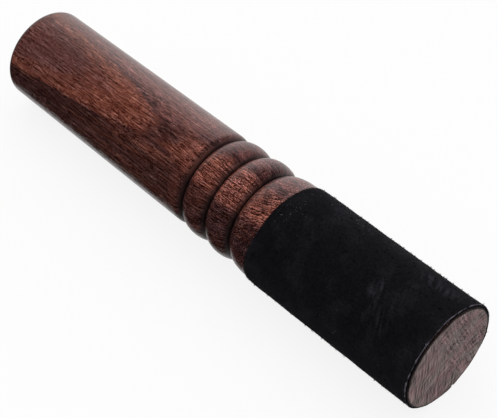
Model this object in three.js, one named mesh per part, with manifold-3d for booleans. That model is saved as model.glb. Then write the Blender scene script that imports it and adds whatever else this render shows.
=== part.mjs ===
// A singing bowl mallet: one turned rosewood body with a strip of black suede
// glued round its striking end.
//
// Sizes are in millimetres. The mallet lies on its side along X with its
// striking end at +X, and rests on the suede at z = 0, centred on the origin.

import * as THREE from 'three';
import { mergeVertices } from 'three/addons/utils/BufferGeometryUtils.js';
import Module from 'manifold-3d';

const wasm = await Module();
wasm.setup();

// Lengths along the axis, in order from the butt to the striking end.
const handle_length = 85.4; // butt face to the bottom of the first groove
const bead_length = 10.3; // groove bottom to groove bottom
const collar_length = 10.3; // last groove bottom to the back edge of the suede
const striker_length = 63.7; // back edge of the suede to the end face

// The wood is turned to the core's radius, which the collar's crest keeps, and
// the rest is turned down from there by these depths.
const core_radius = 17;
const first_bead_depth = 0.3;
const second_bead_depth = 0.1;
const groove_depth = 3;
const shoulder_depth = 0.85; // the handle where it meets the first groove
const handle_taper = 0.5; // how much more at the butt

// Roundings of the turned wood.
const butt_edge_rounding = 2.4;
const shoulder_rounding_length = 2.9;
const collar_rise_length = 7.6;
const end_edge_rounding = 0.7;

// The glue film and the suede, outwards from the core.
const film_clearance = 0.02;
const glue_thickness = 0.1;
const glue_edge_inset = 1;
const suede_thickness = 0.5;
const suede_back_edge_thickness = 0.2;
const suede_back_ease_length = 4;
const suede_front_rounding = 0.3;
const suede_setback = 0.3; // end face of the wood to the front edge of the suede
const seam_gap = 0.3;
const seam_degrees = 14; // from straight down towards +Y
const cut_overrun = 1;

// How finely the round forms are stepped.
const round_sides = 48;
const rounding_steps = 5;
const bead_steps = 14;
const ease_steps = 3;

// Places worked out from the sizes above.
const bead_depths = [first_bead_depth, second_bead_depth];
const groove_radius = core_radius - groove_depth;
const handle_shoulder_radius = core_radius - shoulder_depth;
const handle_butt_radius = handle_shoulder_radius - handle_taper;
const suede_start = handle_length + bead_depths.length * bead_length + collar_length;
const overall_length = suede_start + striker_length;
const suede_end = overall_length - suede_setback;
const glue_inner_radius = core_radius + film_clearance;
const glue_outer_radius = glue_inner_radius + glue_thickness;
const suede_inner_radius = glue_outer_radius + film_clearance;
const suede_outer_radius = suede_inner_radius + suede_thickness;

// A flat of the stepped round lies straight down, so the suede rests on it.
const half_side_angle = Math.PI / round_sides;
const axis_height = suede_outer_radius * Math.cos(half_side_angle);

// Points of an elliptical arc in the plane of radius and station, from one
// angle to another. Angle zero points outwards from the axis.
function arc(station, radius, half_length, half_height, from, to, steps) {
  const points = [];
  for (let i = 0; i <= steps; i += 1) {
    const angle = from + ((to - from) * i) / steps;
    points.push(
      new THREE.Vector2(
        radius + half_height * Math.cos(angle),
        station + half_length * Math.sin(angle)
      )
    );
  }
  return points;
}

// The turned body's outline, from the centre of the butt face along the
// outside to the centre of the end face.
function body_outline() {
  const quarter = Math.PI / 2;
  const points = [new THREE.Vector2(0, 0)];
  points.push(
    ...arc(
      butt_edge_rounding,
      handle_butt_radius - butt_edge_rounding,
      butt_edge_rounding,
      butt_edge_rounding,
      -quarter,
      0,
      rounding_steps
    )
  );
  points.push(
    ...arc(
      handle_length - shoulder_rounding_length,
      groove_radius,
      shoulder_rounding_length,
      groove_depth - shoulder_depth,
      0,
      quarter,
      rounding_steps
    )
  );
  bead_depths.forEach((depth, i) => {
    const bead = arc(
      handle_length + (i + 1 / 2) * bead_length,
      groove_radius,
      bead_length / 2,
      groove_depth - depth,
      -quarter,
      quarter,
      bead_steps
    );
    points.push(...bead.slice(1));
  });
  const collar = arc(
    handle_length + bead_depths.length * bead_length + collar_rise_length,
    groove_radius,
    collar_rise_length,
    groove_depth,
    -quarter,
    0,
    bead_steps / 2
  );
  points.push(...collar.slice(1));
  points.push(
    ...arc(
      overall_length - end_edge_rounding,
      core_radius - end_edge_rounding,
      end_edge_rounding,
      end_edge_rounding,
      0,
      quarter,
      rounding_steps
    )
  );
  points.push(new THREE.Vector2(0, overall_length));
  return points;
}

// The glue film's section, a thin band on the core.
function glue_outline() {
  const back = suede_start + glue_edge_inset;
  const front = Math.min(suede_end, overall_length - end_edge_rounding) - glue_edge_inset;
  return [
    new THREE.Vector2(glue_inner_radius, back),
    new THREE.Vector2(glue_outer_radius, back),
    new THREE.Vector2(glue_outer_radius, front),
    new THREE.Vector2(glue_inner_radius, front),
    new THREE.Vector2(glue_inner_radius, back),
  ];
}

// The suede's section: pressed thin where its back edge meets the collar,
// full thickness along the core, and rounded over at the striking end.
function suede_outline() {
  const quarter = Math.PI / 2;
  const back_edge_radius = suede_inner_radius + suede_back_edge_thickness;
  return [
    new THREE.Vector2(suede_inner_radius, suede_start),
    ...arc(
      suede_start + suede_back_ease_length,
      back_edge_radius,
      suede_back_ease_length,
      suede_outer_radius - back_edge_radius,
      -quarter,
      0,
      ease_steps
    ),
    ...arc(
      suede_end - suede_front_rounding,
      suede_outer_radius - suede_front_rounding,
      suede_front_rounding,
      suede_front_rounding,
      0,
      quarter,
      ease_steps
    ),
    new THREE.Vector2(suede_inner_radius, suede_end),
    new THREE.Vector2(suede_inner_radius, suede_start),
  ];
}

// Turns an outline round the axis, with a flat straight down.
function turned(outline) {
  return new THREE.LatheGeometry(outline, round_sides, half_side_angle);
}

function to_solid(geometry) {
  const bare = geometry.clone();
  bare.deleteAttribute('normal');
  bare.deleteAttribute('uv');
  const merged = mergeVertices(bare);
  return new wasm.Manifold(
    new wasm.Mesh({
      numProp: 3,
      vertProperties: merged.attributes.position.array,
      triVerts: new Uint32Array(merged.index.array),
    })
  );
}

function to_geometry(solid) {
  const mesh = solid.getMesh();
  const geometry = new THREE.BufferGeometry();
  geometry.setAttribute('position', new THREE.BufferAttribute(mesh.vertProperties, 3));
  geometry.setIndex(new THREE.BufferAttribute(mesh.triVerts, 1));
  geometry.computeVertexNormals();
  return geometry;
}

// The wrapped strip: a turned sleeve, parted along the seam where its two
// long edges meet.
function suede_geometry() {
  const depth = suede_thickness + 2 * cut_overrun;
  const length = suede_end - suede_start + 2 * cut_overrun;
  const slit = new THREE.BoxGeometry(seam_gap, length, depth);
  const middle_radius = (suede_inner_radius + suede_outer_radius) / 2;
  slit.translate(0, (suede_start + suede_end) / 2, middle_radius);
  slit.rotateY(Math.PI + THREE.MathUtils.degToRad(seam_degrees));
  return to_geometry(to_solid(turned(suede_outline())).subtract(to_solid(slit)));
}

const rosewood = new THREE.MeshStandardMaterial({
  color: 0x5a2f24,
  roughness: 0.42,
  metalness: 0,
});
const black_suede = new THREE.MeshStandardMaterial({
  color: 0x141417,
  roughness: 0.95,
  metalness: 0,
});
const dried_cement = new THREE.MeshStandardMaterial({
  color: 0xb08a4a,
  roughness: 0.5,
  metalness: 0,
});

function piece(name, geometry, material) {
  const mesh = new THREE.Mesh(geometry, material);
  mesh.name = name;
  return mesh;
}

// Turned pieces stand along Y. This group lays them along X.
const lying = new THREE.Group();
lying.rotation.z = -Math.PI / 2;
lying.position.set(-overall_length / 2, 0, axis_height);
lying.add(
  piece('wooden_body', turned(body_outline()), rosewood),
  piece('glue_film', turned(glue_outline()), dried_cement),
  piece('suede_wrap', suede_geometry(), black_suede)
);

const mallet = new THREE.Group();
mallet.add(lying);

export default mallet;
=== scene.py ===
"""A singing bowl mallet: a turned rosewood body with a strip of black suede glued round its striking end.

The mallet lies on its side along X with its striking end at +X. Places along it are stations, counted
from the butt face, and every length is in metres unless a comment says millimetres.
"""

import math
from functools import partial

import bpy
import numpy as np
from mathutils import Matrix, Vector
from mathutils.noise import noise as smooth_noise


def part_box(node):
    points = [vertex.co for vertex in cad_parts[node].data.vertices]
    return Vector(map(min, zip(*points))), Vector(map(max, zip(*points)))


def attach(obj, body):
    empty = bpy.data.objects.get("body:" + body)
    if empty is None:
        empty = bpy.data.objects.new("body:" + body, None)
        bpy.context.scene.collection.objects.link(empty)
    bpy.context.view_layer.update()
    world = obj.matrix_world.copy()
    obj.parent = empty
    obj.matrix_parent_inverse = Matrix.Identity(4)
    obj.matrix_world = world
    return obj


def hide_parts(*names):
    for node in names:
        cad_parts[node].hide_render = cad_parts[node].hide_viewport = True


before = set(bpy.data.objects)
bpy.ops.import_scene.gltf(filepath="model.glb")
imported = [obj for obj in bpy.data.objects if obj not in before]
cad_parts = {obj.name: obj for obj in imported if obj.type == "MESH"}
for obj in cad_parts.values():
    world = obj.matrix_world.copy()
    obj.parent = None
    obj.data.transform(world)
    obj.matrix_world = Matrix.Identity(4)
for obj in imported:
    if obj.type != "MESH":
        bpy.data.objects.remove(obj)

bl_info = {
    "name": "Singing bowl mallet",
    "version": (1, 0, 0),
    "blender": (4, 5, 0),
    "location": "3D View > Sidebar > Mallet",
    "description": "Builds a suede-wrapped rosewood singing bowl mallet and its studio",
    "category": "Add Mesh",
}

MM = 0.001
BODY = "root"
WOOD_LOW, WOOD_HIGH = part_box("wooden_body")
SUEDE_LOW, SUEDE_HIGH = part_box("suede_wrap")
FILM_LOW, FILM_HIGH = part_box("glue_film")
BUTT_X = WOOD_LOW.x
TOTAL_LENGTH = WOOD_HIGH.x - WOOD_LOW.x
AXIS_HEIGHT = (SUEDE_LOW.z + SUEDE_HIGH.z) / 2
CORE_RADIUS = 17 * MM


# Sizes and colours

def linear(hex_colour):
    """An sRGB hex colour as linear red, green, blue and alpha."""
    parts = [int(hex_colour[i : i + 2], 16) / 255 for i in (1, 3, 5)]
    return (*(p / 12.92 if p <= 0.04045 else ((p + 0.055) / 1.055) ** 2.4 for p in parts), 1.0)


def length(name, description, in_mm):
    return bpy.props.FloatProperty(
        name=name, description=description, default=in_mm * MM, min=0, precision=5, unit="LENGTH"
    )


def colour(name, description, hex_colour):
    return bpy.props.FloatVectorProperty(
        name=name, description=description, default=linear(hex_colour), size=4, min=0, max=1, subtype="COLOR"
    )


def count(name, description, default):
    return bpy.props.IntProperty(name=name, description=description, default=default, min=0)


def amount(name, description, default):
    return bpy.props.FloatProperty(name=name, description=description, default=default, min=0)


def angular(name, description, degrees):
    return bpy.props.FloatProperty(
        name=name, description=description, default=math.radians(degrees), subtype="ANGLE"
    )


class TurnedWood(bpy.types.PropertyGroup):
    """The turned rosewood body."""

    handle_length: length("Handle", "Butt face to the bottom of the first groove", 85.4)
    bead_length: length("Bead", "One groove bottom to the next", 10.3)
    collar_rise: length("Collar rise", "Last groove bottom to the collar's crest", 7.6)
    shoulder_rounding: length("Shoulder", "Length of the rounding into the first groove", 2.9)
    butt_rounding: length("Butt edge", "Radius of the rounded butt edge", 2.4)
    rim_rounding: length("Rim", "Radius of the eased rim at the striking end", 0.7)
    core_radius: length("Core", "Radius of the collar and the core", CORE_RADIUS / MM)
    groove_depth: length("Grooves", "Depth of the grooves below the core", 3)
    first_bead_depth: length("First bead", "Depth of its crest below the core", 0.3)
    second_bead_depth: length("Second bead", "Depth of its crest below the core", 0.1)
    shoulder_depth: length("Shoulder depth", "Depth of the handle's shoulder below the core", 0.85)
    handle_taper: length("Taper", "How much thinner the handle is at the butt", 0.5)
    heartwood: colour("Heartwood", "Orange-brown heartwood", "#754032")
    rosy_wood: colour("Rosy wood", "Duller red-brown wood inside the flame", "#5e3a37")
    upper_wood: colour("Upper wood", "Rosy brown wood beside the flame", "#6a3c36")
    # Darker than the wood alone: it also holds painted shade for the lower side, which faces away from the
    # light.
    lower_wood_and_shade: colour("Lower wood", "Chocolate brown wood on the flame's other side", "#3b1f1a")
    dark_streak: colour("Dark streak", "Purple-brown streaks along the growth rings", "#2b1719")
    bare_end: colour("Bare end grain", "Sanded end grain without oil", "#806566")
    grey_end: colour("Grey end grain", "Greyer patches of the sanded end grain", "#786a67")


class SuedeWrap(bpy.types.PropertyGroup):
    """The strip of suede and the cement under it."""

    thickness: length("Thickness", "Thickness of the suede", 0.46)
    edge_thickness: length("Back edge", "Thickness where the back edge is pressed to the collar", 0.2)
    back_ease: length("Ease", "Length over which the back edge comes up to full thickness", 4)
    front_rounding: length("Front edge", "Radius of the rounded front edge", 0.3)
    seam_gap: length("Seam gap", "Gap between the butted edges", 0.3)
    seam_angle: angular("Seam", "From straight down towards +Y", 14)
    nap_length: length("Nap", "Longest fibre of the nap", 0.42)
    whisker_length: length("Whiskers", "Longest loose fibre that stands clear of the nap", 0.95)
    nap_width: length("Fibre", "Width of a fibre at its root", 0.04)
    nap_count: count("Nap fibres", "Fibres on the wrap", 9000)
    tuft_count: count("Tufts", "Bunches of longer fibres", 400)
    tuft_fibres: count("Tuft fibres", "Fibres in a bunch", 9)
    whisker_count: count("Whisker count", "Longer loose fibres", 600)
    back_fuzz_count: count("Back fuzz", "Fibres of the cut edge on the collar", 2400)
    front_fuzz_count: count("Front fuzz", "Paler fibres of the cut edge at the striking end", 3600)
    lint_count: count("Lint", "Pale specks caught in the nap", 110)
    black: colour("Black", "Dyed suede", "#0e0d10")
    brushed: colour("Brushed", "Suede whose nap is brushed the other way", "#17161a")
    scuffed: colour("Scuffed", "Rubbed suede that shows its grey undernap", "#2b2b31")
    fuzz: colour("Fuzz", "Paler raw fibres at the cut edge", "#85808c")
    cement: colour("Cement", "Dried contact cement", "#b08a4a")


class Studio(bpy.types.PropertyGroup):
    """The floor, the light and the camera."""

    lens: amount("Lens", "Focal length in millimetres", 112.5)
    camera_azimuth: angular("Azimuth", "From -Y towards +X", 46.08)
    camera_elevation: angular("Elevation", "Above the floor", 47.06)
    camera_distance: length("Distance", "Camera to the middle of the mallet", 478.74)
    camera_right: length("Right", "How far right of the mallet's middle the view is centred", 6.4)
    camera_down: length("Down", "How far below the mallet's middle the view is centred", 5.64)
    lamp_watts: amount("Lamp", "Watts of the soft box", 0.16)
    ambient: amount("Ambient", "Light from the horizon", 0.15)
    ceiling: amount("Ceiling", "Light from straight above", 1.35)
    paper: colour("Paper", "The pale floor", "#fafafa")


# Nodes

NOISE_RANGE = (0.3, 0.7)  # nearly all of a noise texture's values lie between these


def add_node(tree, kind, *values, sockets=None, **settings):
    """Adds a shader node with its settings, and fills its inputs by value or by link from another node.

    The values fill the inputs in use in their order, and sockets fills inputs by their names. Gives the
    node's first output in use.
    """
    node = tree.nodes.new("ShaderNode" + kind)
    for name, value in settings.items():
        setattr(node, name, value)
    in_use = [socket for socket in node.inputs if socket.enabled]
    by_name = [(node.inputs[name], value) for name, value in (sockets or {}).items()]
    for socket, value in [*zip(in_use, values), *by_name]:
        if isinstance(value, bpy.types.NodeSocket):
            tree.links.new(value, socket)
        else:
            socket.default_value = value
    return next((socket for socket in node.outputs if socket.enabled), None)


def new_material(name):
    """An empty node material, and the function that adds nodes to it."""
    material = bpy.data.materials.new(name)
    material.use_nodes = True
    material.node_tree.nodes.clear()
    return material, partial(add_node, material.node_tree)


def millimetres(add):
    """Place on the mallet in millimetres, measured from the turning axis at the middle of its length."""
    coordinates = add("TexCoord").node.outputs["Object"]
    return add("Mapping", coordinates, (0, 0, -AXIS_HEIGHT / MM), (0, 0, 0), (1 / MM,) * 3)


def from_axis(add, place):
    """Distance from the turning axis."""
    return add("VectorMath", add("VectorMath", place, (0, 1, 1), operation="MULTIPLY"), operation="LENGTH")


# Rosewood, in millimetres

BUTT = BUTT_X / MM
WOOD_RADIUS = 16.4  # of the surface that the veins are placed on
FLAME_ANGLE = math.radians(24)  # the flame's middle, from straight up towards the viewer
FLAME_SIDE = (0.0, -math.sin(FLAME_ANGLE), math.cos(FLAME_ANGLE))
FLAME_ACROSS = (0.0, math.cos(FLAME_ANGLE), math.sin(FLAME_ANGLE))
PITH_DISTANCE = 40.0
FLAME_TIP_STATION = 68.0
FLAME_CURVE_POWER = 1.1
OUTLINE_AT_BUTT = 52.1  # distance from the pith to the ring that bounds the flame
OUTLINE_AT_TIP = 56.15
RING_WAVES = (((26, 7, 7), 0.5), ((6, 1.2, 1.2), 0.4))  # size along and across, and height
SOFT_EDGE_STATIONS = (38.0, 16.0)  # the flame's upper edge is crisp at the first, soft at the second
PAST_TIP_STATIONS = (60.0, 80.0)  # a bright column comes up between these and runs on past the tip
COLUMN_STATIONS = (70.0, 88.0)  # and widens between these
COLUMN_HALF_WIDTHS = (4.0, 6.0)
HANDLE_STATIONS = (80.0, 78.0)  # the beads' finish turns into the handle's between these
COLLAR_STATION = 106.0  # from here on the grain runs aslant, across the collar
COLLAR_SLANT = 0.4  # how far it runs across for each step along
BEAD_FINENESS = 1.25  # how much closer together the lines lie on the beads

# How plainly the lines show along the mallet: two stations, and the contrast at each.
CONTRAST_STEPS = ((30.0, 52.0, 0.98, 1.18), (78.0, 100.0, 1.0, 2.1))
LINE_TINT = (0.7, 0.95, 1.05)  # the lines change the wood's red least, so the dark ones are redder
DARKEST_LINE = (0.2, 0.12, 0.1)

# Roughness of the oiled wood where it shines most and least, and what is added to it at the bottom of
# the grooves, on the beads' crests and at the butt.
OILED_ROUGHNESS = (0.1, 0.17)
GROOVE_ROUGHNESS = (0.5, 0.05)
BUTT_ROUGHNESS = 0.5

# The oil's stain on the beads' crests, and painted shade on their walls, multiplied into the wood's colours.
WALL_PAINTED_SHADE = (0.6, 0.6, 0.68, 1.0)
CREST_STAIN = (0.92, 0.85, 0.88, 1.0)
UNSTAINED = (1.0, 1.0, 1.0, 1.0)

# Fine lines of the grain: the size of a cell along and across it, its detail and its strength.
GRAIN_LAYERS = (
    ((16, 0.5, 0.5), 1.0, 0.22),
    ((9, 0.28, 0.28), 0.0, 0.75),
    ((2.8, 0.24, 0.24), 0.0, 0.95),
    ((0.5, 0.22, 0.22), 0.0, 1.2),
)
PORE_CELL = (2.4, 0.5, 0.5)

# Veins along the grain: station, degrees from straight up, half length, half width and strength.
DARK_VEINS = (
    (73, 16, 7.0, 2.8, 0.55),
    (57, -4, 8.0, 2.5, 0.2),
    (70, 2, 6.0, 2.5, 0.3),
    # The one at 18 mm and 61 degrees darkens the flame's lower band, partly as painted shade for a side
    # facing away from the light.
    (18, 61, 11.0, 1.6, 0.15),
    (22, 11, 8.0, 2.5, 0.2),
    (28, 73, 10.0, 3.2, 0.3),
    (103.5, -24, 2.6, 6.0, 0.6),
    (112, 10, 3.6, 6.0, 0.35),
    (72, 40, 11.0, 0.9, 0.7),
    (12, 80, 18.0, 2.6, 0.45),
    (44, 57, 12.0, 0.8, 0.4),
    # The two at 83.7 and 83.9 mm darken a narrow ring round the handle's shoulder, just before the first
    # groove.
    (83.7, 10, 0.8, 7.5, 0.55),
    (83.9, 50, 0.9, 6.0, 0.35),
    (101, 66, 5.0, 5.0, 0.4),
    (100.5, 22, 3.5, 9.0, 0.12),
    (90.5, -18, 4.5, 7.0, 0.35),
    (114, 72, 5.0, 5.2, 0.65),
    (106, -10, 2.4, 4.0, 0.4),
    (113, 26, 1.3, 0.9, 0.4),
    (70, 70, 12.0, 2.5, 0.15),
)
LIGHT_VEINS = (
    (46, 6, 8.0, 2.2, 0.3),
    (38, 4, 5.0, 2.8, 0.5),
    (6, 17, 6.0, 6.0, 0.15),
    (7, 66, 7.0, 1.7, 0.6),
    (51, 50, 8.0, 1.6, 0.35),
    (60, 37, 4.0, 2.4, 0.65),
    (62, 62, 9.0, 0.7, 0.35),
    (56, 82, 12.0, 0.8, 0.4),
    (70, 90, 16.0, 0.6, 0.4),
    (82, 60, 2.6, 9.0, 0.4),
    (92, 58, 4.6, 3.6, 0.2),
    (70, 49, 9.0, 1.6, 0.35),
    (100.5, 22, 4.0, 6.0, 0.12),
    (101, 24, 22.0, 8.0, 0.15),
)
PATCH_FADE = (1.4, 0.4)  # a vein or a rubbed place fades between these shares of its half size


def patch(add, place, waves, station, degrees, long, wide, strength, radius=WOOD_RADIUS):
    """How strongly a long soft patch with a wavy edge covers a place, from 0 to its strength."""
    angle = math.radians(degrees)
    middle = (BUTT + station, -radius * math.sin(angle), radius * math.cos(angle))
    offset = add("VectorMath", place, middle, operation="SUBTRACT")
    shaped = add("VectorMath", offset, (long, wide, wide), operation="DIVIDE")
    reach = add("Math", add("VectorMath", shaped, operation="LENGTH"), waves)
    return add("MapRange", reach, *PATCH_FADE, 0.0, strength)


def growth(add, place):
    """How far inside the flame's outline a place lies, counted across the growth rings, and how far aside.

    The rings are tubes round a pith line behind and below the mallet. They rise towards the striking
    end, so the turned surface cuts them in nested flames that open towards the butt.
    """
    height = add("VectorMath", place, FLAME_SIDE, operation="DOT_PRODUCT")
    aside = add("VectorMath", place, FLAME_ACROSS, operation="DOT_PRODUCT")
    from_pith = add("CombineXYZ", add("Math", height, PITH_DISTANCE), aside)
    radius = add("VectorMath", from_pith, operation="LENGTH")
    along = add("MapRange", add("SeparateXYZ", place), BUTT, BUTT + FLAME_TIP_STATION, clamp=False)
    curve = add("Math", along, FLAME_CURVE_POWER, operation="POWER")
    outline = add("MapRange", curve, 0.0, 1.0, OUTLINE_AT_BUTT, OUTLINE_AT_TIP, clamp=False)
    waves = 0.0
    for cell, wave_height in RING_WAVES:
        wave = add("TexNoise", add("VectorMath", place, cell, operation="DIVIDE"), 1.0, 2.0)
        waves = add("Math", add("Mix", wave, -wave_height, wave_height), waves)
    inside = add("Math", add("Math", radius, outline, operation="SUBTRACT"), waves)
    return inside, add("Math", waves, 2.2, aside, operation="MULTIPLY_ADD")


def rosewood_figure(add, place, station, wood):
    """The colours that the growth rings draw: the flame, its dull core and the straight grain beside it."""
    inside, aside = growth(add, place)
    heart, rosy, dark = (tuple(hue) for hue in (wood.heartwood, wood.rosy_wood, wood.dark_streak))
    # Stripes follow the rings, which lie close together where the surface cuts them steeply.
    drift = add("Math", add("SeparateXYZ", place), 0.012, operation="MULTIPLY")
    stripes = add("TexNoise", add("CombineXYZ", inside, drift), 1.2, 3.0, 0.6, noise_dimensions="2D")
    coats = [
        (add("MapRange", aside, -9.0, 3.0), tuple(wood.upper_wood)),
        (add("MapRange", stripes, 0.46, 0.36, 0.0, 0.55), dark),
        (add("MapRange", stripes, 0.58, 0.7, 0.0, 0.35), heart),
    ]

    # Past the flame's tip a bright column of the same ring runs on to the collar.
    from_column = add("Math", aside, operation="ABSOLUTE")
    half_width = add("MapRange", station, *COLUMN_STATIONS, *COLUMN_HALF_WIDTHS)
    outside = add("Math", from_column, half_width, operation="SUBTRACT")
    outer = add("MapRange", add("VectorMath", place, FLAME_SIDE, operation="DOT_PRODUCT"), 0.0, 6.0)
    past_tip = add("Math", add("MapRange", station, *PAST_TIP_STATIONS), outer, operation="MULTIPLY")
    column = add("Math", add("MapRange", outside, 1.2, -1.2), past_tip, operation="MULTIPLY")

    # The flame's lower edge is crisp and its upper one is soft near the butt.
    upper_side = add("MapRange", aside, -2.0, 2.0)
    near_butt = add("MapRange", station, *SOFT_EDGE_STATIONS)
    softness = add("Math", upper_side, near_butt, operation="MULTIPLY")
    flame = add("MapRange", inside, add("Math", softness, -1.0, -0.16, operation="MULTIPLY_ADD"), 0.2)
    dull_rings = add("MapRange", stripes, 0.55, 0.4, 0.0, 0.4)
    core = add("MapRange", inside, 1.4, 2.1, 0.0, 0.9)
    coats += [(add("Math", flame, column, operation="MAXIMUM"), heart), (dull_rings, rosy), (core, rosy)]

    # Thin purple lines bound the flame and the column.
    line = add("Math", add("Math", inside, 0.12), operation="ABSOLUTE")
    line = add("MapRange", line, 0.28, 0.06, 0.0, 0.6)
    line = add("Math", line, add("Math", 1.0, softness, operation="SUBTRACT"), operation="MULTIPLY")
    side_line = add("Math", add("Math", outside, 1.2, operation="SUBTRACT"), operation="ABSOLUTE")
    side_line = add("Math", add("MapRange", side_line, 1.6, 0.2, 0.0, 0.4), past_tip, operation="MULTIPLY")
    coats.append((add("Math", line, side_line, operation="MAXIMUM"), dark))
    waves = add("MapRange", stripes, 0.2, 0.8, -0.5, 0.5)
    for veins, hue in ((LIGHT_VEINS, heart), (DARK_VEINS, dark)):
        coats += [(patch(add, place, waves, *vein), hue) for vein in veins]
    # The ground is the lower side's wood, darkened further with painted shade.
    figure = tuple(wood.lower_wood_and_shade)
    for share, hue in coats:
        figure = add("Mix", share, figure, hue, data_type="RGBA")
    return figure, core


def rosewood_grain(add, place, station, radius, handle, wood):
    """Fine light and dark lines along the grain, round 0, and the short dark pores between them.

    Real vessels are 0.1 to 0.2 mm wide. They are drawn about twice as wide, which is as fine as a
    picture of the whole mallet can show. The grain runs straight, and aslant across the collar.
    """
    end = TOTAL_LENGTH / MM
    aslant = add("MapRange", station, COLLAR_STATION, end, 0.0, (COLLAR_STATION - end) * COLLAR_SLANT)
    # On the beads the lines keep to the axis, as if each bead were bent up from the handle's surface,
    # and they lie closer together.
    shoulder = (wood.core_radius - wood.shoulder_depth) / MM
    ratio = add("Math", shoulder, radius, operation="DIVIDE")
    shrink = add("Mix", handle, ratio, 1.0)
    first_groove = wood.handle_length / MM
    finer = add("MapRange", station, first_groove - 1.0, first_groove, 1.0, BEAD_FINENESS)
    shrink = add("Math", shrink, finer, operation="MULTIPLY")
    place = add("VectorMath", place, add("CombineXYZ", 1.0, shrink, shrink), operation="MULTIPLY")
    place = add("VectorMath", aslant, FLAME_ACROSS, place, operation="MULTIPLY_ADD")
    fibres = 0.0
    for cell, detail, strength in GRAIN_LAYERS:
        noise = add("TexNoise", add("VectorMath", place, cell, operation="DIVIDE"), 1.0, detail)
        fibres = add("Math", add("MapRange", noise, 0.28, 0.72, -strength, strength), fibres)
    patches = add("TexNoise", add("VectorMath", place, (6, 2, 2), operation="DIVIDE"), 1.0, 0.0)
    fibres = add("Math", fibres, add("MapRange", patches, 0.35, 0.65, 0.6, 1.3), operation="MULTIPLY")
    cells = add("VectorMath", place, PORE_CELL, operation="DIVIDE")
    return fibres, add("MapRange", add("TexVoronoi", cells, 1.0), 0.22, 0.1)


def grain_contrast(add, place, station, core, handle, away_from_walls):
    """How plainly the lines show: more towards the collar, and less in the core and in the grooves."""
    # On the beads they also show less away from the flame.
    from_flame = add("VectorMath", place, FLAME_ACROSS, operation="DOT_PRODUCT")
    from_flame = add("Math", from_flame, operation="ABSOLUTE")
    beside_flame = add("MapRange", from_flame, 5.0, 9.0, 1.08, 0.75)
    contrast = 1.0
    for share in (
        *(add("MapRange", station, *step) for step in CONTRAST_STEPS),
        add("Mix", core, 1.0, 0.75),
        add("Mix", handle, beside_flame, 1.0),
        add("Mix", away_from_walls, 0.3, 1.0),
    ):
        contrast = add("Math", contrast, share, operation="MULTIPLY")
    return contrast


def oiled_rosewood(wood):
    """Indian rosewood, turned, sanded along the grain and oiled.

    Gives a red-brown ground with an orange flame between purple-brown streaks, fine lines along the grain
    whose dark ones are redder and whose light ones are paler, and the satin shine of an oil finish.
    """
    material, add = new_material("oiled_rosewood")
    place = millimetres(add)
    station = add("Math", add("SeparateXYZ", place), BUTT, operation="SUBTRACT")
    radius = from_axis(add, place)
    handle = add("MapRange", station, *HANDLE_STATIONS)
    groove = (wood.core_radius - wood.groove_depth) / MM
    away_from_walls = add("Math", add("MapRange", radius, groove + 1.2, groove + 2.3), handle, operation="MAXIMUM")
    figure, core = rosewood_figure(add, place, station, wood)
    fibres, pores = rosewood_grain(add, place, station, radius, handle, wood)
    contrast = grain_contrast(add, place, station, core, handle, away_from_walls)
    lines = add("Math", fibres, contrast, operation="MULTIPLY")
    tint = add("VectorMath", lines, LINE_TINT, (1.0, 1.0, 1.0), operation="MULTIPLY_ADD")
    tint = add("VectorMath", tint, DARKEST_LINE, operation="MAXIMUM")
    base = add("VectorMath", figure, tint, operation="MULTIPLY")
    # The pores are fainter towards the beads.
    pore = tuple(c * 0.2 for c in wood.heartwood)
    pore_share = add("MapRange", station, 60.0, 82.0, 0.55, 0.18)
    pore_share = add("Math", pores, pore_share, operation="MULTIPLY")
    base = add("Mix", pore_share, base, pore, data_type="RGBA")
    # Painted shade darkens the grooves, and the end grain at the butt has drunk more of the dark oil. The
    # oil has also stained the beads' crests, and their walls carry painted shade in a dull mauve.
    crest = add("MapRange", radius, groove + 0.2, groove + 1.6, 0.06, 1.0, interpolation_type="SMOOTHSTEP")
    butt = add("MapRange", station, 2.2, 0.8)
    rim = (TOTAL_LENGTH - wood.rim_rounding) / MM
    stain = add("Mix", handle, CREST_STAIN, UNSTAINED, data_type="RGBA")
    for coat in (
        add("Math", crest, handle, operation="MAXIMUM"),
        add("Mix", butt, 1.0, 0.28),
        # The eased rim at the striking end is darkened, partly by oil and dye and partly by painted shade.
        add("MapRange", station, rim - 1.2, rim - 0.9, 1.0, 0.12),
        add("Mix", away_from_walls, WALL_PAINTED_SHADE, stain, data_type="RGBA"),
    ):
        base = add("VectorMath", base, coat, operation="MULTIPLY")

    # The shine is uneven, and duller in the grooves and on the butt, where sandpaper reaches less well.
    polish = add("TexNoise", add("VectorMath", place, (6, 1.5, 1.5), operation="DIVIDE"), 1.0, 2.0)
    polish = add("MapRange", polish, *NOISE_RANGE, *OILED_ROUGHNESS)
    polish = add("Math", fibres, 0.065, polish, operation="MULTIPLY_ADD")
    in_groove = add("MapRange", radius, groove + 0.4, groove + 2.2, *GROOVE_ROUGHNESS)
    beads = add("Math", add("Math", 1.0, handle, operation="SUBTRACT"), in_groove, operation="MULTIPLY")
    coarse = add("Math", butt, BUTT_ROUGHNESS, beads, operation="MULTIPLY_ADD")
    roughness = add("Math", coarse, add("Math", pores, 0.08, polish, operation="MULTIPLY_ADD"))
    # Sanding has left faint ripples, and the pores stay open under the oil.
    ripples = add("TexNoise", add("VectorMath", place, (2.0, 0.8, 0.8), operation="DIVIDE"), 1.0, 1.0)
    relief = add("Math", ripples, 2.0, operation="MULTIPLY")
    relief = add("Math", fibres, 0.2, relief, operation="MULTIPLY_ADD")
    relief = add("Math", pores, -0.4, relief, operation="MULTIPLY_ADD")
    bump = add("Bump", sockets={"Strength": 1.0, "Distance": 0.04 * MM, "Height": relief})
    add("OutputMaterial", add("BsdfPrincipled", sockets={
        "Base Color": base, "Roughness": roughness, "Normal": bump, "IOR": 1.48,
    }))
    return material


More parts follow.
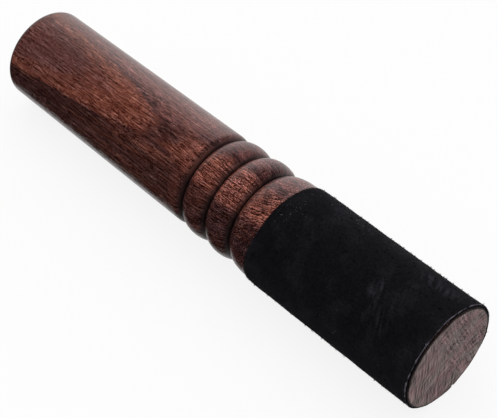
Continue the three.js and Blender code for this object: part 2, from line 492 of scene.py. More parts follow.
# The end grain's rings and its rays or scratches: the size of a cell across and along them.
RING_CELL = (0.9, 6.0, 1.0)
RAY_CELL = (0.25, 8.0, 1.0)
SCRATCHED_SIDE = (0.0, -0.9, -0.44)


def sanded_end_grain(wood):
    """The rosewood's end grain, sawn and sanded flat and left bare.

    Gives a dull, pinkish grey-brown with faint rings, rays across them, and close sanding scratches that
    run up and down at the lower side, and no shine. The rays and scratches are drawn about 0.25 mm wide,
    so that they show.
    """
    material, add = new_material("sanded_end_grain")
    place = millimetres(add)
    inside, aside = growth(add, place)
    sideways = add("SeparateXYZ", place).node.outputs["Y"]
    upwards = add("SeparateXYZ", place).node.outputs["Z"]
    patterns = []
    for across, along, cell in (
        (inside, aside, RING_CELL),
        (aside, inside, RAY_CELL),
        (sideways, upwards, RAY_CELL),
    ):
        cells = add("VectorMath", add("CombineXYZ", across, along), cell, operation="DIVIDE")
        patterns.append(add("TexNoise", cells, 1.0, 1.0, noise_dimensions="2D"))
    rings, rays, scratches = patterns
    clouds = add("TexNoise", add("VectorMath", place, (5, 5, 5), operation="DIVIDE"), 1.0, 2.0)
    lower = add("VectorMath", place, SCRATCHED_SIDE, operation="DOT_PRODUCT")
    lower = add("MapRange", add("Math", clouds, 12.0, lower, operation="MULTIPLY_ADD"), 5.0, 9.0)
    lines = add("Mix", lower, add("Mix", rays, 0.12, 0.88), scratches)
    shade = add("Math", rings, 0.4, lines, operation="MULTIPLY_ADD")
    shade = add("MapRange", shade, 0.48, 0.92, 0.02, 2.04)
    shade = add("Math", shade, add("MapRange", clouds, *NOISE_RANGE, 0.9, 1.1), operation="MULTIPLY")
    # The disc darkens in a ragged ring at its edge, where the suede meets it.
    radius = from_axis(add, place)
    ragged = add("Math", lines, 1.3, radius, operation="MULTIPLY_ADD")
    rim = (wood.core_radius - wood.rim_rounding) / MM
    dark_edge = add("MapRange", ragged, rim + 0.85, rim + 1.05, 1.0, 0.06)
    shade = add("Math", shade, dark_edge, operation="MULTIPLY")
    patchy = add("MapRange", clouds, 0.42, 0.58)
    base = add("Mix", patchy, tuple(wood.bare_end), tuple(wood.grey_end), data_type="RGBA")
    base = add("Mix", 1.0, base, shade, data_type="RGBA", blend_type="MULTIPLY")
    bump = add("Bump", sockets={"Strength": 0.4, "Distance": 0.03 * MM, "Height": shade})
    add("OutputMaterial", add("BsdfPrincipled", sockets={
        "Base Color": base, "Roughness": 0.75, "Specular IOR Level": 0.3, "Normal": bump,
    }))
    return material


# Suede, in millimetres

SUEDE_RADIUS = 17.6  # of the surface that the rubbed places are on
BRUSHED_CELL = (9, 9, 9)
NAP_CELL = (0.8, 0.6, 0.6)  # about twice as coarse as real tufts of nap, so that they show
STROKE_CELL = (1.3, 6, 6)
STROKE_SLANT = 0.5  # how far a stroke runs along the wrap for each step sideways

# Rubbed places on the suede, given as the veins are.
SCUFFS = (
    (122, 29, 2.2, 2.4, 0.35),
    (131, 9, 2.6, 3.2, 0.5),
    (158, 28, 3.0, 6.0, 0.7),
    (164, 44, 2.6, 6.5, 0.6),
    (129, -26, 3.5, 2.0, 0.8),
    (139.5, -28, 3.0, 1.6, 0.7),
    (168, -23, 6.0, 2.6, 0.9),
)


def black_suede(suede):
    """Split leather, dyed black, with its nap raised by sanding.

    Gives a deep matt black that turns a little blue-grey where the nap catches the light edge-on, with
    soft paler patches where it has been brushed, and a few places rubbed grey in short strokes.
    """
    material, add = new_material("black_suede")
    place = millimetres(add)
    patches = add("TexNoise", add("VectorMath", place, BRUSHED_CELL, operation="DIVIDE"), 1.0, 3.0)
    # Fingers have left short strokes that run round the wrap, a little aslant.
    slanted = add("VectorMath", place, (1.0, STROKE_SLANT, 0.0), operation="DOT_PRODUCT")
    slanted = add("CombineXYZ", slanted, add("SeparateXYZ", place).node.outputs["Y"])
    strokes = add("VectorMath", place, (0, 0, 1), slanted, operation="MULTIPLY_ADD")
    strokes = add("TexNoise", add("VectorMath", strokes, STROKE_CELL, operation="DIVIDE"), 1.0, 2.0, 0.5)
    rubbed = add("MapRange", patches, 0.5, 0.62, 0.0, 0.1)
    waves = add("MapRange", patches, *NOISE_RANGE, -0.3, 0.3)
    for scuff in SCUFFS:
        rubbed = add("Math", rubbed, patch(add, place, waves, *scuff, SUEDE_RADIUS), operation="MAXIMUM")
    scuffs = add("Math", add("MapRange", strokes, 0.45, 0.7), rubbed, operation="MULTIPLY")
    nap = add("TexNoise", add("VectorMath", place, NAP_CELL, operation="DIVIDE"), 1.0, 2.0)
    pile = add("MapRange", nap, *NOISE_RANGE, 0.55, 1.45)
    brushed = add("MapRange", patches, 0.5, 0.72)
    base = add("Mix", brushed, tuple(suede.black), tuple(suede.brushed), data_type="RGBA")
    base = add("Mix", scuffs, base, tuple(suede.scuffed), data_type="RGBA")
    base = add("Mix", 1.0, base, pile, data_type="RGBA", blend_type="MULTIPLY")
    bump = add("Bump", sockets={"Strength": 0.7, "Distance": 0.08 * MM, "Height": pile})
    add("OutputMaterial", add("BsdfPrincipled", sockets={
        "Base Color": base, "Roughness": 0.95, "Normal": bump, "Specular IOR Level": 0.1,
        "Sheen Weight": 0.06, "Sheen Roughness": 0.5, "Sheen Tint": linear("#9a9ab0"),
    }))
    return material


def uneven_finish(name, hue, cell, detail, spread, shades, finish, relief=0.0):
    """A material of one colour, lighter and darker from cell to cell, with a low relief in metres."""
    material, add = new_material(name)
    noise = add("TexNoise", add("VectorMath", millimetres(add), cell, operation="DIVIDE"), 1.0, detail)
    shade = add("MapRange", noise, *spread, *shades)
    base = add("Mix", 1.0, hue, shade, data_type="RGBA", blend_type="MULTIPLY")
    sockets = {**finish, "Base Color": base}
    if relief:
        sockets["Normal"] = add("Bump", sockets={"Strength": 0.5, "Distance": relief, "Height": shade})
    add("OutputMaterial", add("BsdfPrincipled", sockets=sockets))
    return material


def raw_cut_suede(suede):
    """The middle of split leather, which the dye hardly reached. Gives the worn front edge a pale line."""
    matt = {"Roughness": 0.95, "Specular IOR Level": 0.1}
    hue, cell, relief = tuple(suede.fuzz), (0.7, 0.9, 0.9), 0.08 * MM
    return uneven_finish("raw_cut_suede", hue, cell, 2.0, (0.35, 0.65), (0.1, 1.1), matt, relief)


def loose_fibre(name, hue):
    """Loose collagen fibres of split leather. Gives suede its soft, hairy outline and raw edges."""
    matt = {"Roughness": 0.9, "Specular IOR Level": 0.1}
    return uneven_finish(name, tuple(hue), (1.2, 1.2, 1.2), 2.0, NOISE_RANGE, (0.4, 1.6), matt)


def dried_cement(suede):
    """Contact cement, brushed on and dried. Gives a thin amber film, streaky from the brush."""
    glossy = {"Roughness": 0.45, "IOR": 1.52}
    hue, cell = tuple(suede.cement), (12, 0.8, 0.8)
    return uneven_finish("dried_contact_cement", hue, cell, 3.0, NOISE_RANGE, (0.6, 1.3), glossy)


# Meshes

# How finely the wood's outline is stepped, part by part.
BUTT_STEPS = 10
HANDLE_STEPS = 80
SHOULDER_STEPS = 12
BEAD_STEPS = 32
COLLAR_STEPS = 20
CORE_STEPS = 30
RIM_STEPS = 8
END_STEPS = 6  # from the middle of each end to its edge

# How finely the pieces are stepped round the axis.
WOOD_SIDES = 240
FILM_SIDES = 96
SUEDE_COLUMNS = 300
SUEDE_ROWS = 150  # along the wrap

FILM_INNER_RADIUS = CORE_RADIUS + 0.02 * MM
FILM_OUTER_RADIUS = FILM_INNER_RADIUS + 0.08 * MM
LINING_RADIUS = CORE_RADIUS + 0.11 * MM  # of the suede's inner side
FLARE_HEIGHT, FLARE_LENGTH = 0.3 * MM, 5 * MM  # how the suede stands off at its front edge
SEAM_OPENING_LENGTH = 1.2 * MM
LIP_DEPTH, LIP_WIDTH = 0.2 * MM, 0.3 * MM  # how the seam's two edges are rounded down


def new_piece(name, points, faces, materials, slot, smooth=True):
    """A mesh object in the mallet's frame that rides on the body."""
    mesh = bpy.data.meshes.new(name)
    mesh.from_pydata([tuple(p) for p in points], [], [tuple(f) for f in faces])
    mesh.validate()
    for material in materials:
        mesh.materials.append(material)
    mesh.polygons.foreach_set("use_smooth", [smooth] * len(mesh.polygons))
    mesh.update()
    piece = bpy.data.objects.new(name, mesh)
    bpy.context.scene.collection.objects.link(piece)
    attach(piece, BODY)
    return piece


def on_mallet(station, radius, angle):
    """Points at a station and radius. The angle runs from straight up towards the viewer at -Y."""
    x = BUTT_X + station
    y = -radius * np.sin(angle)
    z = AXIS_HEIGHT + radius * np.cos(angle)
    return np.stack(np.broadcast_arrays(x, y, z), axis=-1)


def outwards(angle):
    """Directions straight out from the axis."""
    return np.stack([0 * angle, -np.sin(angle), np.cos(angle)], axis=-1)


def unit(vectors):
    return vectors / np.linalg.norm(vectors, axis=-1, keepdims=True)


def arc(station, radius, half_length, half_height, start, end, steps):
    """(station, radius) along an elliptical arc. Angle zero points outwards from the axis."""
    angles = np.linspace(start, end, steps + 1)
    return list(zip(station + half_length * np.sin(angles), radius + half_height * np.cos(angles)))


def body_outline(wood):
    """(station, radius) from the edge of the butt face to the edge of the end face."""
    quarter = math.pi / 2
    groove = wood.core_radius - wood.groove_depth
    shoulder = wood.core_radius - wood.shoulder_depth
    butt = shoulder - wood.handle_taper
    edge, rim = wood.butt_rounding, wood.rim_rounding
    handle_end = wood.handle_length - wood.shoulder_rounding
    points = arc(edge, butt - edge, edge, edge, -quarter, 0, BUTT_STEPS)
    for share in np.linspace(0, 1, HANDLE_STEPS + 1)[1:-1]:
        points.append((edge + (handle_end - edge) * share, butt + (shoulder - butt) * share))
    shoulder_height = shoulder - groove
    points += arc(handle_end, groove, wood.shoulder_rounding, shoulder_height, 0, quarter, SHOULDER_STEPS)
    station = wood.handle_length
    half_bead = wood.bead_length / 2
    for depth in (wood.first_bead_depth, wood.second_bead_depth):
        height = wood.groove_depth - depth
        points += arc(station + half_bead, groove, half_bead, height, -quarter, quarter, BEAD_STEPS)[1:]
        station += wood.bead_length
    crest = station + wood.collar_rise
    points += arc(crest, groove, wood.collar_rise, wood.groove_depth, -quarter, 0, COLLAR_STEPS)[1:]
    for place in np.linspace(crest, TOTAL_LENGTH - rim, CORE_STEPS + 1)[1:-1]:
        points.append((place, wood.core_radius))
    points += arc(TOTAL_LENGTH - rim, wood.core_radius - rim, rim, rim, 0, quarter, RIM_STEPS)
    return np.array(points)


def turned_rings(outline, sides):
    """Points of an outline turned round the axis, and their numbers, one ring for each outline point."""
    angles = np.arange(sides) * 2 * math.pi / sides
    points = on_mallet(outline[:, :1], outline[:, 1:], angles[None, :]).reshape(-1, 3)
    return points, np.arange(len(points)).reshape(-1, sides)


def band(ring, following):
    """Faces between two rings."""
    corners = [ring, following, np.roll(following, -1), np.roll(ring, -1)]
    return np.stack(corners, axis=-1).tolist()


def turned(outline, sides):
    """Points and faces of an outline turned round the axis, with both ends closed by rings and a fan."""
    shares = np.linspace(0, 1, END_STEPS + 1)[1:-1]
    (butt_station, butt_radius), (end_station, end_radius) = outline[0], outline[-1]
    butt_face = [(butt_station, butt_radius * share) for share in shares]
    end_face = [(end_station, end_radius * share) for share in shares[::-1]]
    points, numbers = turned_rings(np.array([*butt_face, *outline, *end_face]), sides)
    faces = []
    for ring, following in zip(numbers, numbers[1:]):
        faces += band(ring, following)
    middles = on_mallet(np.array([butt_station, end_station]), np.zeros(2), np.zeros(2))
    first = len(points)
    faces += [[first, i, j] for i, j in zip(numbers[0], np.roll(numbers[0], -1))]
    faces += [[first + 1, j, i] for i, j in zip(numbers[-1], np.roll(numbers[-1], -1))]
    return np.vstack([points, middles]), faces


class MALLET_OT_wooden_body(bpy.types.Operator):
    """Turns the rosewood body: handle, shoulder, grooves, beads, collar and core"""

    bl_idname = "mallet.wooden_body"
    bl_label = "Turned rosewood body"

    def execute(self, context):
        wood = context.scene.turned_wood
        points, faces = turned(body_outline(wood), WOOD_SIDES)
        finishes = [oiled_rosewood(wood), sanded_end_grain(wood)]
        piece = new_piece("turned_rosewood_body", points, faces, finishes, "rosewood")
        # The bare end grain takes in the end face, which is flat, and most of its eased rim.
        for face in piece.data.polygons:
            if face.center.x > WOOD_HIGH.x - 0.7 * wood.rim_rounding:
                face.material_index = 1
            if face.center.x > WOOD_HIGH.x - 0.05 * MM:
                face.use_smooth = False
        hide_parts("wooden_body")
        return {"FINISHED"}


class MALLET_OT_cement_film(bpy.types.Operator):
    """Spreads the dried cement between the core and the suede"""

    bl_idname = "mallet.cement_film"
    bl_label = "Dried cement film"

    def execute(self, context):
        inner, outer = FILM_INNER_RADIUS, FILM_OUTER_RADIUS
        start, end = FILM_LOW.x - BUTT_X, FILM_HIGH.x - BUTT_X
        section = np.array([(start, outer), (end, outer), (end, inner), (start, inner)])
        points, numbers = turned_rings(section, FILM_SIDES)
        faces = []
        for ring, following in zip(numbers, np.roll(numbers, -1, axis=0)):
            faces += band(ring, following)
        finish = dried_cement(context.scene.suede_wrap)
        piece = new_piece("cement_film", points, faces, [finish], "dried_cement", smooth=False)
        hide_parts("glue_film")
        return {"FINISHED"}


# Sides of the wrap, by their parts towards -Y and +Z.
UPPER_SIDE = (-0.840, 0.542)  # where the photograph's upper outline lies
NEAR_SIDE = (0.542, 0.840)  # towards the camera


def side_share(angle, side):
    """How far an angle round the axis points to a side, from -1 to 1."""
    return np.sin(angle) * side[0] + np.cos(angle) * side[1]


def back_edge(angle):
    """Station of the suede's hand-cut back edge. Its skew and wobble are in millimetres."""
    up = side_share(angle, UPPER_SIDE)
    skew = 1.05 * up * np.abs(up) - 0.25 * up * up
    wobble = 0.1 * np.sin(3 * angle + 0.6) + 0.06 * np.sin(7 * angle + 2.1)
    return SUEDE_LOW.x - BUTT_X + (skew + wobble) * MM


def front_edge(angle):
    """Station of the suede's front edge, trimmed by hand just short of the end face.

    The setback is in millimetres.
    """
    near = side_share(angle, NEAR_SIDE)
    setback = 0.48 + 0.3 * near + 0.05 * np.sin(5 * angle + 1.0) + 0.04 * np.sin(11 * angle)
    return TOTAL_LENGTH - setback * MM


def suede_radius(suede, station, angle):
    """Outer radius of the suede at a station and an angle."""
    inner = SUEDE_HIGH.z - AXIS_HEIGHT - suede.thickness
    from_front = front_edge(angle) - station
    back = np.clip((station - back_edge(angle)) / suede.back_ease, 0, 1)
    front = np.clip(from_front / suede.front_rounding, 0, 1)
    rise = suede.edge_thickness + (suede.thickness - suede.edge_thickness) * np.sqrt(1 - (1 - back) ** 2)
    fall = suede.front_rounding * (1 - np.sqrt(1 - (1 - front) ** 2))
    # The front edge stands off a little on the upper side.
    upper = np.clip(side_share(angle, UPPER_SIDE), 0, 1)
    flare = FLARE_HEIGHT * upper ** 2 * np.exp(-from_front / FLARE_LENGTH)
    return inner + rise - fall + flare


def raggedness(angle):
    """Uneven height of the worn front edge, about -1 to 1, as sums of waves round the axis."""
    return 0.5 * np.sin(9 * angle + 1) + 0.4 * np.sin(23 * angle) + 0.35 * np.sin(41 * angle + 2)


RELIEF_SIZES = ((7.0, 0.07), (2.5, 0.05), (0.9, 0.04))  # width and height, in millimetres


def suede_relief(points):
    """Lumps of the glue under the suede and small hollows of its nap, from the points themselves."""
    relief = np.zeros(len(points))
    for size, height in RELIEF_SIZES:
        relief += [height * MM * smooth_noise(Vector(p) / (size * MM)) for p in points]
    return relief


class MALLET_OT_suede_wrap(bpy.types.Operator):
    """Wraps the suede strip round the core, its long edges butted along the seam"""

    bl_idname = "mallet.suede_wrap"
    bl_label = "Suede wrap"

    def execute(self, context):
        suede = context.scene.suede_wrap
        columns, rows = SUEDE_COLUMNS, SUEDE_ROWS
        seam = math.pi + suede.seam_angle
        # Rows gather at both cut edges, where the thickness changes.
        shares = 0.5 - 0.5 * np.cos(math.pi * np.linspace(0, 1, rows + 1))
        half_gap = suede.seam_gap / 2 / CORE_RADIUS
        round_share = np.linspace(0, 1, columns + 1)
        angle = seam + half_gap + round_share * (2 * math.pi - 2 * half_gap)
        start, end = back_edge(angle), front_edge(angle)
        station = start[:, None] + shares[None, :] * (end - start)[:, None]
        # The seam opens a little at the front edge.
        widened = 1.6 * np.exp(-(end[:, None] - station) / SEAM_OPENING_LENGTH) * half_gap
        from_middle = (round_share[:, None] - 0.5) * 2
        angles = angle[:, None] - widened * np.sign(from_middle) * np.abs(from_middle) ** 60
        to_seam = np.minimum(round_share, 1 - round_share)[:, None] * 2 * math.pi * CORE_RADIUS
        lip = LIP_DEPTH * (1 - np.sqrt(1 - (1 - np.clip(to_seam / LIP_WIDTH, 0, 1)) ** 2))
        skin = on_mallet(station, suede_radius(suede, station, angles) - lip, angles).reshape(-1, 3)
        skin += outwards(angles).reshape(-1, 3) * suede_relief(skin)[:, None]
        lining = on_mallet(station, LINING_RADIUS + 0 * station, angles).reshape(-1, 3)
        high = rows + 1
        i, j = np.meshgrid(np.arange(columns), np.arange(rows), indexing="ij")
        a = (i * high + j).ravel()
        quads = np.stack([a, a + 1, a + high + 1, a + high], axis=-1)
        faces = quads.tolist() + (quads[:, ::-1] + len(skin)).tolist()
        rim = [k * high for k in range(columns + 1)]
        rim += [columns * high + k for k in range(1, high)]
        rim += [k * high + rows for k in range(columns - 1, -1, -1)]
        rim += list(range(rows - 1, 0, -1))
        for p, q in zip(rim, rim[1:] + rim[:1]):
            faces.append([p, q, q + len(skin), p + len(skin)])
        finishes = [black_suede(suede), raw_cut_suede(suede)]
        piece = new_piece("black_suede_wrap", np.vstack([skin, lining]), faces, finishes, "black_suede")
        # The front edge is rubbed down to its grey middle in a ragged line, counted here in rows.
        random = np.random.RandomState(7)
        worn = 3.8 + 3.5 * raggedness(angle) + random.uniform(-2.0, 2.0, columns + 1)
        worn = worn * np.clip(side_share(angle, NEAR_SIDE) + 0.35, 0, 1)
        for column in range(columns):
            for row in range(rows - int(max(worn[column], 0)), rows - 1):
                piece.data.polygons[column * rows + row].material_index = 1
        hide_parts("suede_wrap")
        return {"FINISHED"}


def tuft(random, suede, station, angle, lengths, width, depth=0.0, forward=0.0, lift=1.0, brush=0.0):
    """Roots, growing and leaning directions, lengths and widths of fibres that grow from the suede.

    Lift is how far they grow off the surface and forward how far along the axis. Brush is how far they
    lean towards +X.
    """
    axial = np.array([1.0, 0.0, 0.0])
    roots = on_mallet(station, suede_radius(suede, station, angle) - depth, angle)
    growing = unit(outwards(angle) * np.reshape(lift, (-1, 1)) + axial * np.reshape(forward, (-1, 1)))
    lean = random.normal(0, 1, roots.shape) + axial * brush
    lean = unit(lean - growing * np.sum(lean * growing, axis=1, keepdims=True))
    return roots, growing, lean, lengths, np.full(len(roots), width)


def fibre_mesh(tufts):
    """Points and faces of bent, tapering fibres with three sides."""
    roots, growing, lean, lengths, widths = (np.concatenate(parts) for parts in zip(*tufts))
    lengths, widths = lengths[:, None], widths[:, None]
    across = unit(np.cross(growing, lean))
    other = np.cross(growing, across)
    # A fibre bends over towards its tip.
    middle = roots + growing * lengths * 0.45 + lean * lengths * 0.15
    tip = roots + growing * lengths * 0.75 + lean * lengths * 0.6
    points = []
    for centre, size in ((roots - growing * widths, 1.0), (middle, 0.75)):
        for turn in (0, 2 * math.pi / 3, 4 * math.pi / 3):
            points.append(centre + (across * math.cos(turn) + other * math.sin(turn)) * widths * size / 2)
    points.append(tip)
    points = np.stack(points, axis=1).reshape(-1, 3)
    # Seven points make a fibre: three at the root, three at the middle and the tip.
    one = [(2, 1, 0)]
    for side in range(3):
        following = (side + 1) % 3
        one += [(side, following, 3 + following, 3 + side), (3 + side, 3 + following, 6)]
    faces = [tuple(7 * fibre + corner for corner in face) for fibre in range(len(roots)) for face in one]
    return points, faces


class MALLET_OT_suede_nap(bpy.types.Operator):
    """Raises the nap: loose fibres over the wrap and at its edges, with paler raw ones at the front"""

    bl_idname = "mallet.suede_nap"
    bl_label = "Suede nap"

    def execute(self, context):
        suede = context.scene.suede_wrap
        random = np.random.RandomState(11)
        grow = partial(tuft, random, suede)

        def spread(number):
            angle = random.uniform(0, math.tau, number)
            start, end = back_edge(angle), front_edge(angle)
            return start + random.uniform(0.004, 0.999, number) * (end - start), angle

        station, angle = spread(suede.nap_count)
        lengths = suede.nap_length * random.uniform(0.3, 1.0, suede.nap_count) ** 1.5
        dark = [grow(station, angle, lengths, suede.nap_width, 0.02 * MM, brush=0.8)]
        # Bunches of longer fibres make the outline uneven.
        station, angle = (np.repeat(values, suede.tuft_fibres) for values in spread(suede.tuft_count))
        number = len(station)
        station = station + random.normal(0, 0.12, number) * MM
        angle = angle + random.normal(0, 0.12, number) * MM / CORE_RADIUS
        lengths = suede.nap_length * random.uniform(0.9, 1.8, number)
        dark.append(grow(station, angle, lengths, 0.055 * MM, 0.02 * MM, brush=1.0))
        station, angle = spread(suede.whisker_count)
        lengths = suede.whisker_length * random.uniform(0.4, 1.0, suede.whisker_count)
        dark.append(grow(station, angle, lengths, suede.nap_width, 0.02 * MM, brush=0.4))
        # The cut edge on the collar frays backwards over the wood.
        angle = random.uniform(0, math.tau, suede.back_fuzz_count)
        station = back_edge(angle) + random.uniform(0.0, 0.25, suede.back_fuzz_count) * MM
        lengths = suede.nap_length * random.uniform(0.3, 1.5, suede.back_fuzz_count)
        lift = random.uniform(0.1, 0.7, suede.back_fuzz_count)
        dark.append(grow(station, angle, lengths, suede.nap_width, 0.03 * MM, -1.0, lift))
        finish = loose_fibre("dyed_nap_fibre", suede.black)
        nap = new_piece("suede_nap", *fibre_mesh(dark), [finish], "black_suede")

        number = suede.front_fuzz_count
        angle = np.radians(random.normal(20, 45, number))
        station = front_edge(angle) - random.uniform(0.02, 0.22, number) * MM
        # The cut shows in some stretches and hardly in others.
        ragged = 0.55 + 0.6 * raggedness(angle)
        lengths = suede.nap_length * random.uniform(0.2, 0.8, number) * np.clip(ragged, 0.1, 1.2)
        lift = random.uniform(0.2, 1.3, number)
        depth = random.uniform(-0.03, 0.1, number) * MM
        pale = [grow(station, angle, lengths, 0.05 * MM, depth, 1.0, lift)]
        # Bare fibres show where the back edge is frayed most, low on the viewer's side.
        number = suede.lint_count // 2
        angle = np.radians(random.normal(random.choice((72.0, 72.0, -5.0), number), 18))
        station = back_edge(angle) + random.normal(-0.3, 0.5, number) * MM
        lengths = suede.nap_length * random.uniform(0.3, 1.0, number)
        pale.append(grow(station, angle, lengths, 0.06 * MM, 0.0, -0.6, 0.5))
        # Lint lies flat in the nap, most of it near the collar on the upper side.
        number = suede.lint_count // 3
        start = back_edge(0.0)
        for station, angle in (
            spread(number),
            (start + random.normal(3.5, 1.6, number) * MM, np.radians(random.normal(10, 9, number))),
            (start + random.uniform(2, 22, number) * MM, np.radians(random.normal(-36, 10, number))),
        ):
            lengths = random.uniform(0.25, 0.65, number) * MM
            pale.append(grow(station, angle, lengths, 0.065 * MM, -0.07 * MM, 0.6, 0.05))
        finish = loose_fibre("raw_edge_fibre", suede.fuzz)
        fuzz = new_piece("suede_edge_fuzz", *fibre_mesh(pale), [finish], "black_suede")
        return {"FINISHED"}


# Studio

BACKDROP_SIDE = (-0.72, 0.69, 0.0)  # where the backdrop stands, straight ahead of the camera
BACKDROP_EDGES = (0.42, 0.98)  # it comes up from dim to white between these shares of that direction
ROOM_LIGHT = 0.03  # how bright the rest of the room is in the shine, where the backdrop is 1
SIDE_LIGHT = 0.72  # how much more light comes from the backdrop's side than from all round
PAPER_LIFT = 0.86  # the share of its white that the paper shows whatever the light
PAPER_IN_SHINE = 0.8
SHEET_HALF_LENGTH = 3.0
FLOOR_GAP = 0.03 * MM  # between the mallet and the floor
CARD_EDGE, CARD_LIFT = -16.5 * MM, 0.3 * MM
SOFTBOX_SIDE = Vector((-0.58, 0.76, 0.3))  # behind the mallet and a little above it
SOFTBOX_DISTANCE, SOFTBOX_SIZE = 0.95, 0.55
SENSOR_WIDTH = 36.0  # in millimetres


def white_surround(studio):
    """Soft light from above and behind, and a backdrop that the camera sees as white.

    In the wood's shine the backdrop is white behind the mallet, and fades to a dim room overhead and
    in front.
    """
    world = bpy.data.worlds.new("white_surround")
    world.use_nodes = True
    world.node_tree.nodes.clear()
    add = partial(add_node, world.node_tree)
    path = add("LightPath").node.outputs
    direction = add("TexCoord")
    height = add("SeparateXYZ", direction).node.outputs["Z"]
    behind = add("VectorMath", direction, BACKDROP_SIDE, operation="DOT_PRODUCT")
    backdrop = add("MapRange", behind, *BACKDROP_EDGES, ROOM_LIGHT, 1.0, interpolation_type="SMOOTHSTEP")
    shiny = add("Math", path["Is Glossy Ray"], backdrop, operation="MULTIPLY")
    clear = add("Math", path["Is Camera Ray"], path["Is Transmission Ray"], operation="MAXIMUM")
    seen = add("Math", shiny, clear, operation="MAXIMUM")
    matt = add("Math", 1.0, path["Is Glossy Ray"], operation="SUBTRACT")
    ceiling = add("Mix", height, studio.ambient, studio.ceiling)
    from_side = add("Math", behind, SIDE_LIGHT, 1.0, operation="MULTIPLY_ADD")
    dome = add("Math", ceiling, from_side, operation="MULTIPLY")
    strength = add("Math", seen, add("Math", matt, dome, operation="MULTIPLY"), operation="MAXIMUM")
    add("OutputWorld", add("Background", (1, 1, 1, 1), strength))
    bpy.context.scene.world = world


def seamless_paper(studio):
    """White studio paper. Gives a matt floor, lifted to white for the camera, that keeps a faint shadow."""
    material, add = new_material("seamless_paper")
    grain = add("TexNoise", millimetres(add), 0.9, 2.0)
    shade = add("MapRange", grain, *NOISE_RANGE, 0.985, 1.0)
    base = add("Mix", 1.0, tuple(studio.paper), shade, data_type="RGBA", blend_type="MULTIPLY")
    path = add("LightPath").node.outputs
    shiny = add("Math", path["Is Camera Ray"], path["Is Glossy Ray"], operation="MAXIMUM")
    seen = add("Math", shiny, path["Is Transmission Ray"], operation="MAXIMUM")
    lifted = add("Math", seen, PAPER_LIFT, operation="MULTIPLY")
    # In the shine it is a little dimmer, because the mallet stands in the way of its light.
    strength = add("Mix", path["Is Glossy Ray"], 1.0, PAPER_IN_SHINE)
    mixed = add("MixShader", lifted, add("BsdfDiffuse", base), add("Emission", (1, 1, 1, 1), strength))
    add("OutputMaterial", mixed)
    return material


def shine_only_black_paper():
    """Black paper that only the shine sees. Gives a painted dark reflection: an even, matt black with a
    faint grain.
    """
    material, add = new_material("shine_only_black_paper")
    grain = add("TexNoise", millimetres(add), 0.4)
    add("OutputMaterial", add("BsdfDiffuse", add("MapRange", grain, *NOISE_RANGE, 0.01, 0.02)))
    return material


def soft_box(watts):
    """A square soft box that faces the mallet."""
    lamp = bpy.data.lights.new("softbox", "AREA")
    lamp.shape, lamp.size, lamp.energy = "SQUARE", SOFTBOX_SIZE, watts
    stand = bpy.data.objects.new("softbox", lamp)
    bpy.context.scene.collection.objects.link(stand)
    away = SOFTBOX_SIDE.normalized()
    stand.location = Vector((0, 0, AXIS_HEIGHT)) + away * SOFTBOX_DISTANCE
    stand.rotation_euler = away.to_track_quat("Z", "Y").to_euler()


def sloping_sheet(name, edge, floor_height, lift, material):
    """A flat sheet on the floor, from far in front of the mallet to an edge at a place along Y."""
    side = SHEET_HALF_LENGTH
    corners = [(-side, -side), (side, -side), (side, edge), (-side, edge)]
    mesh = bpy.data.meshes.new(name)
    mesh.from_pydata([(x, y, floor_height(x) + lift) for x, y in corners], [], [(0, 1, 2, 3)])
    mesh.materials.append(material)
    sheet = bpy.data.objects.new(name, mesh)
    bpy.context.scene.collection.objects.link(sheet)
    return sheet


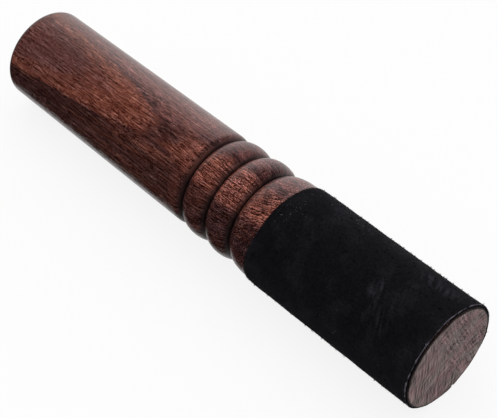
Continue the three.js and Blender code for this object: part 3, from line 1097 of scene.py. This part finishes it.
class MALLET_OT_studio(bpy.types.Operator):
    """Sets up the pale floor, the black card that paints a dark reflection, the soft light and the camera"""

    bl_idname = "mallet.studio"
    bl_label = "Studio"

    def execute(self, context):
        studio = context.scene.studio
        wood = context.scene.turned_wood
        # Left alone, the mallet lies on the suede's back end and on the edge of the butt, which is thinner.
        butt_radius = wood.core_radius - wood.shoulder_depth - wood.handle_taper
        touch_x = SUEDE_LOW.x + context.scene.suede_wrap.back_ease
        slope = (AXIS_HEIGHT - butt_radius) / (touch_x - (BUTT_X + wood.butt_rounding))

        def floor_height(x):
            return (touch_x - x) * slope - FLOOR_GAP

        sloping_sheet("floor", SHEET_HALF_LENGTH, floor_height, 0.0, seamless_paper(studio))
        # Black paper on the floor in front of the mallet keeps the shine off its lower side. Only the
        # shine shows it: it paints a dark reflection there.
        card = sloping_sheet("shine_only_black_card", CARD_EDGE, floor_height, CARD_LIFT, shine_only_black_paper())
        card.visible_camera = False
        card.visible_diffuse = False
        card.visible_shadow = False
        white_surround(studio)
        soft_box(studio.lamp_watts)

        azimuth, elevation = studio.camera_azimuth, studio.camera_elevation
        right = Vector((math.cos(azimuth), math.sin(azimuth), 0))
        level = Vector((math.sin(azimuth), -math.cos(azimuth), 0))
        back = level * math.cos(elevation) + Vector((0, 0, math.sin(elevation)))
        up = back.cross(right)
        camera = bpy.data.cameras.new("camera")
        camera.lens, camera.sensor_width, camera.sensor_fit = studio.lens, SENSOR_WIDTH, "HORIZONTAL"
        camera.clip_start, camera.clip_end = 0.01, 20.0
        holder = bpy.data.objects.new("camera", camera)
        context.scene.collection.objects.link(holder)
        middle = Vector(((WOOD_LOW.x + WOOD_HIGH.x) / 2, 0, AXIS_HEIGHT))
        aim = middle + right * studio.camera_right - up * studio.camera_down
        place = aim + back * studio.camera_distance
        turn = Matrix((right, up, back)).transposed().to_4x4()
        holder.matrix_world = Matrix.Translation(place) @ turn
        context.scene.camera = holder
        context.scene.view_settings.view_transform = "Standard"
        return {"FINISHED"}


class MALLET_PT_panel(bpy.types.Panel):
    """Lists the mallet's pieces"""

    bl_label = "Mallet"
    bl_space_type = "VIEW_3D"
    bl_region_type = "UI"
    bl_category = "Mallet"

    def draw(self, context):
        for operator in OPERATORS:
            self.layout.operator(operator.bl_idname)


GROUPS = {"turned_wood": TurnedWood, "suede_wrap": SuedeWrap, "studio": Studio}
OPERATORS = (
    MALLET_OT_wooden_body,
    MALLET_OT_cement_film,
    MALLET_OT_suede_wrap,
    MALLET_OT_suede_nap,
    MALLET_OT_studio,
)


def register():
    for name, group in GROUPS.items():
        bpy.utils.register_class(group)
        setattr(bpy.types.Scene, name, bpy.props.PointerProperty(type=group))
    for operator in OPERATORS:
        bpy.utils.register_class(operator)
    bpy.utils.register_class(MALLET_PT_panel)


def unregister():
    bpy.utils.unregister_class(MALLET_PT_panel)
    for operator in reversed(OPERATORS):
        bpy.utils.unregister_class(operator)
    for name, group in reversed(GROUPS.items()):
        delattr(bpy.types.Scene, name)
        bpy.utils.unregister_class(group)


def main():
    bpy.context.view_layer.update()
    register()
    bpy.ops.mallet.wooden_body()
    bpy.ops.mallet.cement_film()
    bpy.ops.mallet.suede_wrap()
    bpy.ops.mallet.suede_nap()
    bpy.ops.mallet.studio()


if __name__ == "__main__":
    main()
